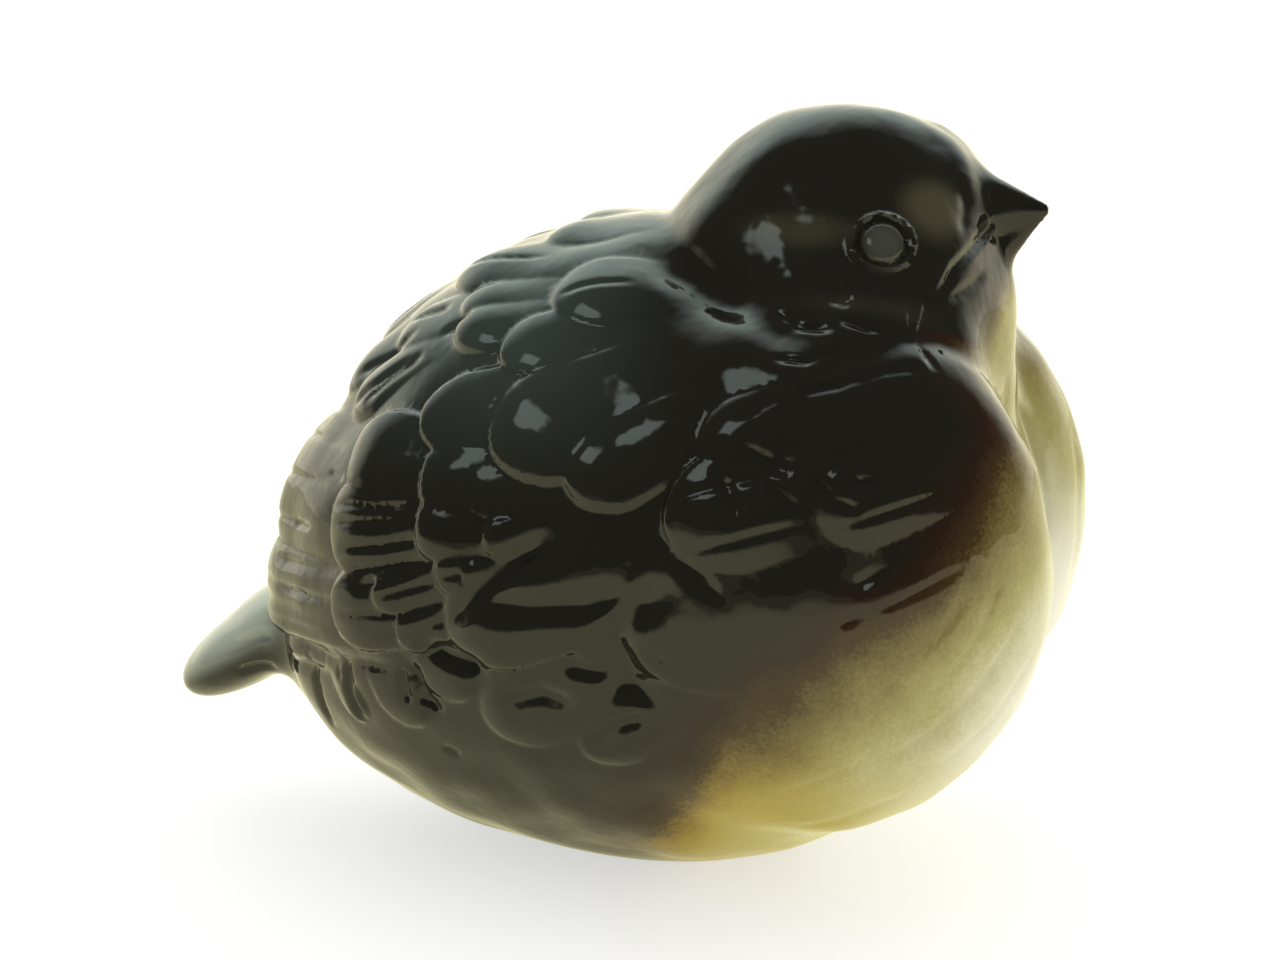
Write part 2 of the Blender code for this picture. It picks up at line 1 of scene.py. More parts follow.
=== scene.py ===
# %% [markdown]
# A plump songbird in glazed ceramic. The real one was cast hollow from slip in a two-part mould,
# sprayed with soft-edged colours and covered by a thick, very glossy clear glaze.
# This lesson rebuilds its visible skin in Blender, as fine as the mould's own modelling, and finishes
# it. The bird faces +X, its right side is -Y, and it sits on the flat of its belly at Z = 0.
# Shapes are worked out in millimetres, as a sculptor measures them, and become metres at the end.

# %% Load the frame
import json
import math

import bmesh
import bpy
import numpy as np
from mathutils import Matrix, Vector

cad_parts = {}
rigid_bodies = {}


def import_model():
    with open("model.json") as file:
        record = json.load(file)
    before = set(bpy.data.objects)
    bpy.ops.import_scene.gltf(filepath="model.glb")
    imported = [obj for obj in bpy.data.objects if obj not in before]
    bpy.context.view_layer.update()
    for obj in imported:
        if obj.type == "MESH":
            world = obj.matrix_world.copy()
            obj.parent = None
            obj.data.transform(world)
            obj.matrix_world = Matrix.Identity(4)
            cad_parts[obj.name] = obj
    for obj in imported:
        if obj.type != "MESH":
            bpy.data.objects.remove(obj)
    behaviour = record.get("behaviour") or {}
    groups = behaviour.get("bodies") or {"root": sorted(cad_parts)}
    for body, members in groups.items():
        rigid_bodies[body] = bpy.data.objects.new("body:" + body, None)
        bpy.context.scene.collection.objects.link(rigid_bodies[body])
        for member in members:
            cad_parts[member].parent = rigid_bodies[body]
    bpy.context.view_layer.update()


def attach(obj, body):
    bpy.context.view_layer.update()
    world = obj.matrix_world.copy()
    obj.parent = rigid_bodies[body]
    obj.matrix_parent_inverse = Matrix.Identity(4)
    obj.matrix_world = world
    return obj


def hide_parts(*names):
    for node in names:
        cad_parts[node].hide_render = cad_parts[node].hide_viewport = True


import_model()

MM = 0.001

# %% [markdown]
# The body is first built as a modeller builds it from clay: a few egg-shaped masses, blended where
# they touch. Each mass is its middle, its three half-lengths, the angle that its front end is raised
# by, the angle that it is swung sideways by, and how wide the fillet towards the others is.

# %% Masses of clay
TORSO = np.array([0.0, 0.0, 41.0])
HEAD = np.array([23.5, 0.0, 83.9])
TAIL = np.array([-57.7, 0.0, 24.2])

# middle, half-lengths, pitch, yaw, blend
BODY = [
    (TORSO, (48, 40.5, 43), 0, 0, 0),
    (TORSO + [-20, 0, -8], (33.5, 32, 31), 0, 0, 6),
    (TORSO + [21.6, -19, 2], (30.5, 22, 34), 0, 0, 4),
    (TORSO + [21.6, 19, 2], (30.5, 22, 34), 0, 0, 4),
    (TORSO + [-19.5, -22, -1], (24, 15, 23), 14, -14, 3),
    (TORSO + [-19.5, 22, -1], (24, 15, 23), 14, 14, 3),
    (TORSO + [-45, 0, -20.5], (12.5, 9, 6), -30, 0, 4),
    (TAIL, (14.5, 8.8, 5.4), 34, 0, 4),
]
HOOD = [
    (HEAD, (18.5, 16.75, 15), -8, 0, 0),
    (HEAD + [-10.5, 0, -3.4], (16.5, 17.5, 11.7), 32, 0, 4),
    (HEAD + [-6.5, 0, -13.5], (25, 21.5, 20), 38, 0, 4),
    (HEAD + [11.5, 0, -15.5], (9.5, 12, 16), 0, 0, 5),
    (HEAD + [-1, -9.5, -13.5], (19, 15.5, 14.5), 32, 0, 6),
    (HEAD + [-1, 9.5, -13.5], (19, 15.5, 14.5), 32, 0, 6),
]

# Each half of the beak is a round cone: its root, its root radius and its tip.
BEAK_HALVES = [
    (HEAD + [10.5, 0, 1.6], 7.6, HEAD + [24.8, 0, 2.0]),
    (HEAD + [12.0, 0, -6.0], 5.6, HEAD + [23.5, 0, 0.8]),
]
BEAK_TIP_RADIUS = 0.6
BEAK_NARROWED = 0.8
print("masses of body and hood:", len(BODY), len(HOOD))

# %% [markdown]
# Each mass could be a sphere object joined to the next by a boolean, but such joins are hard edges.
# Here the bird is first a formula: the distance from any point to the skin. Where two distances are
# nearly the same, they are blended into a fillet, as a thumb smooths clay into a corner.
# The same formula later says where the skin lies, which way it faces and how deep the wall goes.

# %% Distance to one mass
def mass_axes(pitch, yaw):
    """The mass's own axes as columns: pitch raises its front, yaw swings it to the left."""
    swing = Matrix.Rotation(math.radians(yaw), 3, "Z")
    return np.array(swing @ Matrix.Rotation(-math.radians(pitch), 3, "Y"))


def egg_distance(points, middle, half_lengths, axes):
    local = (points - middle) @ axes
    radii = np.array(half_lengths, float)
    scaled = np.sqrt(((local / radii) ** 2).sum(axis=1))
    slope = np.sqrt(((local / radii**2) ** 2).sum(axis=1))
    return scaled * (scaled - 1) / np.maximum(slope, 1e-6)


# %% Soft joins
def soft_ramp(value, low, high):
    share = np.clip((value - low) / (high - low), 0, 1)
    return share * share * (3 - 2 * share)


def blended(first, second, blend):
    overlap = np.maximum(blend - np.abs(first - second), 0) / np.maximum(blend, 1e-6)
    return np.minimum(first, second) - overlap**2 * blend / 4


def cone_distance(points, root, root_radius, tip, tip_radius):
    """Distance to a round-tipped cone that is narrower from side to side than it is high."""
    run = tip - root
    share = np.clip((points - root) @ run / (run @ run), 0, 1)
    gap = (points - root - share[:, None] * run) * [1, 1 / BEAK_NARROWED, 1]
    radius = root_radius + (tip_radius - root_radius) * share
    return (np.linalg.norm(gap, axis=1) - radius) * BEAK_NARROWED


def grouped(points, masses):
    distance = None
    for middle, half_lengths, pitch, yaw, blend in masses:
        egg = egg_distance(points, middle, half_lengths, mass_axes(pitch, yaw))
        distance = egg if distance is None else blended(distance, egg, blend)
    return distance


# %% Distance to the whole skin
GAPE_FILLET, BEAK_FILLET = 0.8, 1.5
NAPE_CREASE, THROAT_CREASE = 1.2, 7.0
CREASE_SOFTENS_FROM, CREASE_SOFT_BY = 12, 32
FOOT_EDGE_ROUND = 1.5


def skin_distance(points):
    """Distance to the smooth skin, negative inside, with the belly sliced flat at Z = 0."""
    beak = None
    for root, radius, tip in BEAK_HALVES:
        half = cone_distance(points, root, radius, tip, BEAK_TIP_RADIUS)
        beak = half if beak is None else blended(beak, half, GAPE_FILLET)
    hood = blended(grouped(points, HOOD), beak, BEAK_FILLET)
    softer = soft_ramp(points[:, 0], CREASE_SOFTENS_FROM, CREASE_SOFT_BY)
    crease = NAPE_CREASE + (THROAT_CREASE - NAPE_CREASE) * softer
    distance = blended(grouped(points, BODY), hood, crease)
    return -blended(-distance, points[:, 2], FOOT_EDGE_ROUND)


def skin_slope(points, step=0.12):
    """Outward unit normals of the smooth skin."""
    slope = np.empty_like(points)
    for axis in range(3):
        nudge = np.zeros(3)
        nudge[axis] = step
        slope[:, axis] = skin_distance(points + nudge) - skin_distance(points - nudge)
    return slope / np.maximum(np.linalg.norm(slope, axis=1), 1e-9)[:, None]


beside = np.array([[0.0, -60.0, TORSO[2]]])
print("from 60 mm beside the bird's middle to its flank, mm:", skin_distance(beside)[0].round(1))

# %% [markdown]
# Places on the bird are read as a sculptor would turn it on a stand: an angle around it, 0 at the
# breast, 90 at the flank and 180 at the tail, and an angle above the level of the torso's middle.
# A ray at those angles meets the skin at the place that is meant. Side is -1 on the bird's right.

# %% Places by angle
RAY_START, CLOSE_ENOUGH = 70.0, 0.005


def on_skin(middle, angles, side):
    around, above = math.radians(angles[0]), math.radians(angles[1])
    ray = np.array(
        [
            math.cos(above) * math.cos(around),
            side * math.cos(above) * math.sin(around),
            math.sin(above),
        ]
    )
    reach = RAY_START
    gap = reach
    while abs(gap) > CLOSE_ENOUGH:
        gap = skin_distance((middle + ray * reach)[None])[0]
        reach -= gap * 0.9
    return middle + ray * reach


print("flank at the torso's height:", on_skin(TORSO, (90, 0), -1).round(1))

# %% [markdown]
# The plumage is low relief. A feather is a long mound with a rounded tip: nothing at its root, where
# the feather in front covers it, and all of its height at its free tip, with a crisp edge.
# Where feathers overlap, the higher one shows, which is how a row of roof tiles works too.

# %% One feather
RIM_WIDTH = 0.8
CROWN_SHARE, LONGEST_CROWN = 0.62, 0.7
ROOT_FLARE = 0.75
BARB_DEPTH, BARB_WIDTH = 0.3, 0.5
# skin further in or out than this belongs to another side of the bird
REACH_THROUGH = 14


def feather_lift(points, middle, side, tip, root, width, height, crisp, barbs, roundness):
    """How far one feather lifts the skin, and which points it can reach."""
    tip_place, root_place = on_skin(middle, tip, side), on_skin(middle, root, side)
    centre = (tip_place + root_place) / 2
    along = tip_place - root_place
    length = np.linalg.norm(along)
    along = along / length
    outward = skin_slope(centre[None])[0]
    across = np.cross(outward, along)
    across /= np.linalg.norm(across)
    close = np.flatnonzero((np.abs(points - centre) < length / 2 + width).all(axis=1))
    offset = points[close] - root_place
    u, v = offset @ along, offset @ across
    half = width / 2
    crown = min(width * CROWN_SHARE, length * LONGEST_CROWN)
    bend = np.clip((u - length + crown) / crown, 0, None)
    flare = ROOT_FLARE + (1 - ROOT_FLARE) * np.clip(u / (length - crown), 0, 1)
    across_share = np.abs(v) / (half * flare)
    outline = (bend**roundness + across_share**roundness) ** (1 / roundness)
    inside = np.clip(1 - outline, 0, 1)
    pillow = inside * (2 - inside)
    rim = soft_ramp(inside * half, 0, RIM_WIDTH)
    rise = np.clip(u / length, 0, 1) ** 1.2
    lift = height * rise * (crisp * rim + (1 - crisp) * pillow)
    for barb in range(barbs):
        lane = (barb - (barbs - 1) / 2) * width / (barbs + 0.6)
        span = np.clip((u / length - 0.3) * 6, 0, 1) * np.clip((0.92 - u / length) * 8, 0, 1)
        lift -= BARB_DEPTH * span * rim * np.exp(-(((v - lane) / BARB_WIDTH) ** 2))
    lift[(np.abs(offset @ outward) > REACH_THROUGH) | (u < 0)] = 0
    return close, lift


# %% [markdown]
# A groove is cut along a route of angles, as a wire tool leaves it, and runs out at both its ends.

# %% One groove
RUN_OUT = 0.22


def groove_depth(points, middle, side, route, width, depth):
    places = [on_skin(middle, angles, side) for angles in route]
    low = np.min(places, axis=0) - width * 4
    high = np.max(places, axis=0) + width * 4
    close = np.flatnonzero(((points > low) & (points < high)).all(axis=1))
    local = points[close]
    best = np.full(len(close), 1e9)
    place = np.zeros(len(close))
    walked = 0.0
    for a, b in zip(places, places[1:]):
        run = b - a
        span = np.linalg.norm(run)
        share = np.clip((local - a) @ run / span**2, 0, 1)
        gap = np.linalg.norm(local - a - share[:, None] * run, axis=1)
        closer = gap < best
        best[closer] = gap[closer]
        place[closer] = (walked + share * span)[closer]
        walked += span
    ends = np.clip(np.minimum(place, walked - place) / (walked * RUN_OUT), 0, 1)
    return close, depth * ends * np.exp(-((best / width) ** 2))


# %% [markdown]
# A songbird's folded wing lies in rows: the long primaries at the rear, then the secondaries, then
# the coverts, each row over the roots of the one behind it. The tables give one side of the bird, and
# the other is its mirror image. Every feather differs a little, as the modeller's hand left it, so
# they are listed one by one and not made by a pattern.

# %% Wing rows
# tip, root, width, height, crisp, barbs
WING_ROWS = {
    "primaries": [
        ((176, 7), (134, 12.5), 20.0, 2.8, 0.2, 3),
        ((173, -6), (128, -4), 11.0, 2.4, 0.35, 1),
        ((168, -10.5), (133, -9), 5.5, 2.4, 0.5, 1),
    ],
    "secondaries": [
        ((143.5, 18), (112, 22), 13.0, 3.0, 0.4, 0),
        ((142.5, 7), (114, 12), 14.0, 2.9, 0.4, 0),
        ((140.5, -5), (116, -3), 11.0, 2.6, 0.45, 1),
        ((131, -2), (112, 5), 6.5, 2.5, 0.5, 1),
        ((127, -8), (111, -1), 6.5, 2.4, 0.5, 1),
    ],
    "coverts": [
        ((125.5, 18), (104, 22), 12.0, 3.0, 0.45, 0),
        ((124, 10), (104, 12.5), 9.0, 2.9, 0.45, 0),
        ((119.5, 3), (104, 7), 6.0, 2.1, 0.5, 1),
    ],
    "small_coverts": [
        ((116.5, 17.5), (99, 19), 7.5, 1.9, 0.5, 0),
        ((111.5, 10.5), (97, 12), 6.0, 1.9, 0.5, 0),
        ((114.5, 3.5), (99, 6), 5.0, 2.0, 0.5, 0),
    ],
}

print("wing feathers on each side:", sum(len(row) for row in WING_ROWS.values()))

# %% [markdown]
# The rest of the plumage is broader and softer: shoulder feathers that drape over the wing, shallow
# lobes on back, flank and breast, and three tufts that hang under the wing. They are the same mound as
# a wing feather, with a rounder outline and a softer edge.

# %% Lobes of the back, flank and breast
# tip, root, width, height, crisp, barbs
LOBES = [
    # shoulder feathers that drape over the wing
    ((130, 25.5), (101, 38), 12.0, 3.3, 0.4, 0),
    ((113, 24.5), (80, 40), 16.0, 3.0, 0.35, 0),
    ((97, 20.5), (66, 33), 12.0, 2.4, 0.3, 0),
    ((119, 40.5), (94, 52), 10.0, 2.6, 0.35, 0),
    ((135, 42), (109, 53), 9.0, 2.3, 0.3, 0),
    # back
    ((160, 51), (112, 67), 12.0, 2.2, 0.15, 1),
    ((115, 53.5), (76, 61), 13.0, 2.5, 0.2, 1),
    ((150, 66), (97, 84), 11.0, 2.2, 0.1, 0),
    ((142, 47.5), (112, 57), 8.5, 1.8, 0.2, 0),
    ((158, 37), (134, 50), 9.0, 1.5, 0.15, 0),
    ((155, 23), (139, 43), 9.0, 1.6, 0.15, 0),
    ((166, 25), (155, 43), 9.0, 1.3, 0.1, 0),
    ((177, 32), (172, 54), 10.5, 1.6, 0.15, 2),
    # flank
    ((118, -5), (80, 6), 15.0, 3.4, 0.2, 0),
    ((114, -22), (84, -13), 12.0, 1.8, 0.05, 0),
    ((95, -27), (72, -13), 10.0, 1.4, 0.05, 0),
    ((87, -4), (50, 6), 21.0, 2.5, 0.1, 0),
    ((79, 14), (50, 19), 17.0, 2.8, 0.25, 2),
    ((73, 26), (48, 30), 11.0, 2.0, 0.1, 0),
    # tufts under the wing
    ((141, -25), (147, -11), 7.0, 1.3, 0.3, 0),
    ((128, -25), (133, -10), 8.5, 1.4, 0.3, 0),
    ((116, -19), (122, -8), 9.0, 1.4, 0.3, 0),
    # breast
    ((57, 15), (30, 19), 11.0, 1.9, 0.15, 2),
    ((52, 1), (32, 9), 10.0, 1.2, 0.1, 1),
]

print("lobes on each side:", len(LOBES))

# %% [markdown]
# What a mound can't give is drawn in afterwards: the crease under the hood, the partings of the tufts,
# the lower edge of the wing and the short strokes of the modelling tool. These could be painted as a
# bump, but real grooves catch the glaze's reflections and stay in the mesh.

# %% Grooves of the body
# route of angles, width, depth
BODY_GROOVES = [
    # under the hood, from the nape round the cheek to the throat
    ([(95, 72), (84, 68), (76, 64), (68, 60), (61, 52), (56, 44), (50, 36)], 2.8, 0.8),
    ([(57, 42), (50, 36), (44, 36), (38, 37), (29, 35), (21, 31), (17, 28)], 2.0, 0.6),
    ([(50, 32), (43, 33), (36, 32)], 0.8, 0.4),
    # folds of the breast, beside its middle parting
    ([(6, 30), (9, 18), (8, 6), (5, -8)], 1.4, 0.6),
    ([(20, 16), (17, 4), (18, -8)], 0.9, 0.35),
    ([(36, 8), (40, 0), (47, -9), (52, -14)], 0.8, 0.45),
    ([(33, 5), (37, -4), (43, -12)], 0.7, 0.4),
    ([(29, 0), (34, -9), (41, -17), (46, -21)], 0.8, 0.45),
    ([(25, -4), (30, -14), (38, -23)], 0.7, 0.35),
    ([(45, -17), (52, -25), (58, -31)], 0.8, 0.35),
    ([(38, -26), (44, -33), (52, -40)], 0.8, 0.35),
    # strokes on the brown breast
    ([(66, 27), (62, 24), (59, 21)], 0.6, 0.45),
    ([(70, 24), (67, 19), (66, 15)], 0.6, 0.5),
    ([(63, 21), (60, 18), (58, 16)], 0.6, 0.45),
    ([(56, 21), (54, 17), (50, 15)], 0.6, 0.45),
    ([(52, 20), (48, 18)], 0.6, 0.4),
    ([(77, 10), (72, 7), (69, 3)], 0.7, 0.5),
    ([(74, 7), (70, 4)], 0.6, 0.45),
    ([(52, 5), (47, 8)], 0.7, 0.5),
    ([(54, 0), (50, 2)], 0.6, 0.4),
    # the wing's lower edge stands clear of the body
    ([(169, -13), (155, -13.5), (145, -14.5), (136, -13.5), (131, -13.5), (124, -11)], 1.1, 0.8),
    ([(98, 13), (101, 11), (108, 4), (114, -2), (118, -6)], 1.5, 1.0),
    # tuft partings, drawn down and forward
    ([(140, -13), (142, -19), (141, -25)], 0.9, 1.1),
    ([(143, -13), (144, -18)], 0.5, 0.5),
    ([(128, -13), (128, -17), (128, -20)], 0.7, 0.8),
    ([(126, -12), (125, -19), (122, -22)], 0.9, 1.1),
    ([(123, -8), (117, -10.5), (110, -12)], 1.6, 1.2),
    ([(154, -14), (154, -20), (156, -25), (157, -28)], 0.9, 0.8),
    ([(126, -29), (123, -31)], 0.6, 0.4),
    ([(109, -18), (101, -16), (94, -18)], 1.5, 0.9),
    ([(93, -26), (87, -21), (80, -18)], 1.3, 0.9),
    ([(83, -6), (77, -8)], 0.5, 0.35),
    # the fold across the flank, and the valley behind the breast lobe
    ([(113, 0), (102, 0), (92, 1), (82, 4)], 1.7, 1.1),
    ([(76, 6), (83, 1), (87, -5), (85, -13), (77, -17)], 2.2, 1.5),
    ([(97, -10), (90, -11), (86, -10)], 1.3, 0.8),
    # back strokes
    ([(157, 41), (146, 47)], 0.7, 0.5),
    ([(155, 24), (149, 30), (143, 37)], 0.7, 0.6),
    ([(150, 26), (146, 32), (141, 38)], 0.7, 0.6),
    ([(161, 28), (155, 34), (149, 41)], 0.7, 0.5),
    ([(141, 42), (133, 47)], 0.6, 0.45),
    # seams across the wing's rows
    ([(141, 10.5), (132, 12), (124, 14)], 0.45, 0.5),
    ([(140, 8), (133, 9.5), (127, 11)], 0.45, 0.4),
    ([(138, 4.5), (130, 6.5), (122, 9)], 0.5, 0.5),
    ([(137, 1.5), (129, 3.5), (121, 6)], 0.5, 0.5),
    ([(134, -1), (128, 1.5), (122, 4.5)], 0.5, 0.45),
    ([(163, -2.5), (152, -1), (140, 0)], 0.6, 0.55),
    ([(160, -6), (150, -5), (139, -4)], 0.6, 0.5),
    ([(158, 4), (150, 5)], 0.5, 0.35),
    ([(150, 14), (144, 14)], 0.4, 0.3),
]
print("grooves on each side of the body:", len(BODY_GROOVES))

# %% [markdown]
# The head's angles are taken from the head's own middle, and the tail's from the middle of the tail.

# %% Grooves of head and tail
HEAD_GROOVES = [
    # gape of the beak, nostril and the edge of the plumage round the bill
    ([(56, -17), (48, -13), (44, -10), (33, -6), (20, -2), (9, 3)], 0.6, 0.6),
    ([(51, -18), (41, -17), (24, -14)], 0.7, 0.3),
    ([(10, 13), (7, 11)], 0.5, 0.4),
    ([(24, 18), (29, 9), (36, 0)], 1.0, 0.2),
    # ruffle behind the jaw, and strokes on the cheek
    ([(57, -15), (58, -19), (63, -22), (61, -26)], 0.7, 0.65),
    ([(62, -16), (64, -20), (69, -22)], 0.6, 0.5),
    ([(103, -17), (94, -19), (84, -19)], 0.8, 0.7),
    ([(99, -22), (90, -22.5), (80, -21)], 0.8, 0.7),
    ([(92, -26), (83, -25), (75, -24)], 0.8, 0.6),
    ([(88, -14), (80, -15)], 0.8, 0.5),
    ([(84, -17), (76, -19), (70, -20)], 0.7, 0.6),
]
TAIL_GROOVES = [
    ([(60, 15), (75, 12), (98, 5), (120, 1)], 1.0, 0.8),
    ([(54, 4), (78, 0), (104, -6)], 1.0, 0.8),
    ([(60, -18), (82, -22), (104, -27)], 0.9, 0.55),
]
print("grooves on each side of head and tail:", len(HEAD_GROOVES), len(TAIL_GROOVES))

# %% [markdown]
# The eye is a small dome in a ring of lid, with a channel between them where the glaze pools. It could
# be a sphere of its own, but the real one is part of the casting, so it only lifts the skin. The brow
# is a soft ridge that runs from the crown down to the root of the bill.

# %% Brow and eye
BROW = [(24, 58), (12, 40), (17, 25), (26, 13)]
BROW_WIDTH, BROW_HEIGHT = 2.4, 0.4
EYE = (70, -1)
EYE_RADIUS, EYE_PROUD = 2.75, 1.0
LID_RADIUS, LID_WIDTH, LID_PROUD = 3.7, 0.45, 0.6
CHANNEL_RADIUS, CHANNEL_WIDTH, CHANNEL_DEPTH = 3.0, 0.35, 0.35


def eye_lift(points, side):
    seat = on_skin(HEAD, EYE, side)
    distance = np.linalg.norm(points - seat, axis=1)
    dome = EYE_PROUD * np.sqrt(np.clip(1 - (distance / EYE_RADIUS) ** 2, 0, 1))
    lid = LID_PROUD * np.exp(-(((distance - LID_RADIUS) / LID_WIDTH) ** 2))
    channel = CHANNEL_DEPTH * np.exp(-(((distance - CHANNEL_RADIUS) / CHANNEL_WIDTH) ** 2))
    return dome + lid - channel


print("right eye at, mm:", on_skin(HEAD, EYE, -1).round(1))

# %% [markdown]
# Now the clay becomes a mesh. Spheres and cones stand in for the masses, and a voxel remesh melts them
# into one closed skin of even squares. Squares of half a millimetre are fine enough to carry the edge
# of a feather. Subdividing a coarse ball would stretch its faces over head, beak and tail instead.

# %% Spheres and cones in place
def add_egg(lump, middle, half_lengths, pitch, yaw):
    place = Matrix.Translation(middle) @ Matrix(mass_axes(pitch, yaw).tolist()).to_4x4()
    place = place @ Matrix.Diagonal((*half_lengths, 1))
    bmesh.ops.create_icosphere(lump, subdivisions=5, radius=1, matrix=place)


def add_half_beak(lump, root, radius, tip):
    run = Vector(tip - root)
    middle = Vector((tip + root) / 2)
    bmesh.ops.create_cone(
        lump,
        cap_ends=True,
        segments=32,
        radius1=radius,
        radius2=BEAK_TIP_RADIUS,
        depth=run.length,
        matrix=Matrix.Translation(middle) @ run.to_track_quat("Z", "Y").to_matrix().to_4x4(),
    )


def lump_mesh():
    lump = bmesh.new()
    for middle, half_lengths, pitch, yaw, _ in BODY + HOOD:
        add_egg(lump, middle, half_lengths, pitch, yaw)
    for root, radius, tip in BEAK_HALVES:
        add_half_beak(lump, root, radius, tip)
    mesh = bpy.data.meshes.new("clay")
    lump.to_mesh(mesh)
    lump.free()
    return mesh


# %% One closed skin
CLAY_STEP = 0.52


def baked(thing):
    return bpy.data.meshes.new_from_object(thing.evaluated_get(bpy.context.evaluated_depsgraph_get()))


def in_scene(name, mesh):
    thing = bpy.data.objects.new(name, mesh)
    bpy.context.scene.collection.objects.link(thing)
    return thing


clay = in_scene("clay", lump_mesh())
remesh = clay.modifiers.new("even_mesh", "REMESH")
remesh.mode = "VOXEL"
remesh.voxel_size = CLAY_STEP
mesh = baked(clay)
bpy.data.objects.remove(clay, do_unlink=True)
print("points of clay:", len(mesh.vertices))


# %% Read and write the points
def read_points(mesh):
    flat = np.empty(len(mesh.vertices) * 3, np.float32)
    mesh.vertices.foreach_get("co", flat)
    return flat.reshape(-1, 3).astype(float)


def write_points(mesh, points):
    mesh.vertices.foreach_set("co", points.astype(np.float32).ravel())
    mesh.update()


# %% [markdown]
# The remesh knows nothing of the fillets and leaves small steps. So each point slides along the slope
# of the skin until its distance is nothing, the net is smoothed, and the points slide once more.

# %% Settle the clay on the skin
def settle(points, rounds):
    for _ in range(rounds):
        points = points - skin_slope(points) * skin_distance(points)[:, None]
    return points


def relax(mesh, rounds):
    work = bmesh.new()
    work.from_mesh(mesh)
    for _ in range(rounds):
        bmesh.ops.smooth_vert(
            work, verts=work.verts, factor=0.5, use_axis_x=True, use_axis_y=True, use_axis_z=True
        )
    work.to_mesh(mesh)
    work.free()


write_points(mesh, settle(read_points(mesh), 2))
relax(mesh, 3)
points = settle(read_points(mesh), 2)
outwards = skin_slope(points)
print("furthest point off the skin, mm:", np.abs(skin_distance(points)).max().round(3))

# %% [markdown]
# All the relief is summed before anything moves. Of overlapping feathers the highest counts, and of
# crossing grooves the deepest, so no two of them add up to a spike. Both sides are made in one loop.

# %% Feathers, grooves, brow and eyes
WING_ROUNDNESS, LOBE_ROUNDNESS = 2.6, 1.9
feathers = [(*feather, WING_ROUNDNESS) for row in WING_ROWS.values() for feather in row]
feathers += [(*lobe, LOBE_ROUNDNESS) for lobe in LOBES]
lift = np.zeros(len(points))
groove = np.zeros(len(points))
for side in (-1, 1):
    for feather in feathers:
        close, rise = feather_lift(points, TORSO, side, *feather)
        lift[close] = np.maximum(lift[close], rise)
    for middle, cuts in ((TORSO, BODY_GROOVES), (HEAD, HEAD_GROOVES), (TAIL, TAIL_GROOVES)):
        for route, width, depth in cuts:
            close, cut = groove_depth(points, middle, side, route, width, depth)
            groove[close] = np.maximum(groove[close], cut)
    close, ridge = groove_depth(points, HEAD, side, BROW, BROW_WIDTH, BROW_HEIGHT)
    lift[close] += ridge
    lift += eye_lift(points, side)
print("highest feather and deepest groove, mm:", lift.max().round(1), groove.max().round(1))

# %% [markdown]
# Thick glaze never lies quite flat. A sum of faint waves in chance directions, of 7 to 20 mm length,
# bends the reflections as on the real piece. The relief fades out just above the foot, so that the
# bird still stands on a flat face.

# %% Waves, and the skin in its final form
WAVES, WAVE_HEIGHT, SHORTEST_WAVE, LONGEST_WAVE = 24, 0.08, 7, 20
RELIEF_FULL_AT, FOOT_SNAP = 4, 0.06
dice = np.random.default_rng(7)
wave = np.zeros(len(points))
for _ in range(WAVES):
    course = dice.normal(size=3)
    course /= np.linalg.norm(course)
    length = dice.uniform(SHORTEST_WAVE, LONGEST_WAVE)
    phase = points @ course * (2 * math.pi / length) + dice.uniform(0, 6.28)
    wave += np.sin(phase) * length / LONGEST_WAVE
lift += WAVE_HEIGHT * wave
smooth_points = points.copy()
above_foot = np.clip(points[:, 2] / RELIEF_FULL_AT, 0, 1)
points += outwards * ((lift - groove) * above_foot)[:, None]
points[points[:, 2] < FOOT_SNAP, 2] = 0
write_points(mesh, points)
print("the bird spans, mm:", np.ptp(points, axis=0).round(1))

# %% [markdown]
# The real colours were sprayed, so each has a soft edge that follows the form and not a seam. Where
# each one lies is worked out here and held on the mesh's points as an attribute, which the material
# reads. A painted image would need an unwrapped skin, and a closed bird has no good place for a seam.

# %% Where the dark begins
# an angle above the torso's middle, and the angle round it where the dark back begins
BORDER = [
    (-54, 88),
    (-36, 72),
    (-17, 63),
    (-8, 57),
    (-1, 49),
    (5, 42),
    (9, 36),
    (17, 31),
    (22, 27),
    (28, 23),
    (36, 20),
    (60, 15),
]


def angles_of(points, middle):
    reach = points - middle
    around = np.degrees(np.arctan2(np.abs(reach[:, 1]), reach[:, 0]))
    above = np.degrees(np.arctan2(reach[:, 2], np.hypot(reach[:, 0], reach[:, 1])))
    return around, above


around, above = angles_of(smooth_points, TORSO)
border = np.interp(above, [height for height, _ in BORDER], [place for _, place in BORDER])
past_border = (around - border) * np.cos(np.radians(above))
print("share of the body past the border:", (past_border > 0).mean().round(2))

# %% [markdown]
# The head wears a dark cap that comes down to the beak, round the eye and over the cheeks, and only
# the throat is pale. The torso's angles mean little up there, so the cap has a border of its own, in
# angles round the head's middle, and the two borders are blended where the hood meets the body.

# %% The dark cap and the pale throat
THROAT_HALF_WIDTH, THROAT_TOP, THROAT_SPREAD = 20, -22, 1.2
CAP_EDGE, CAP_STEEPNESS = -20, 2.2
PALEST, DARKEST = -13, 26
head_around, head_above = angles_of(smooth_points, HEAD)
on_head = soft_ramp(grouped(smooth_points, BODY) - grouped(smooth_points, HOOD), -1, 1.5)
beside_throat = head_around - THROAT_HALF_WIDTH + THROAT_SPREAD * (head_above - THROAT_TOP)
past_throat = np.maximum(beside_throat, CAP_STEEPNESS * (head_above - CAP_EDGE))
past_border = past_border * (1 - on_head) + np.clip(past_throat, PALEST, DARKEST) * on_head
print("share of the skin on the hood:", on_head.mean().round(2))
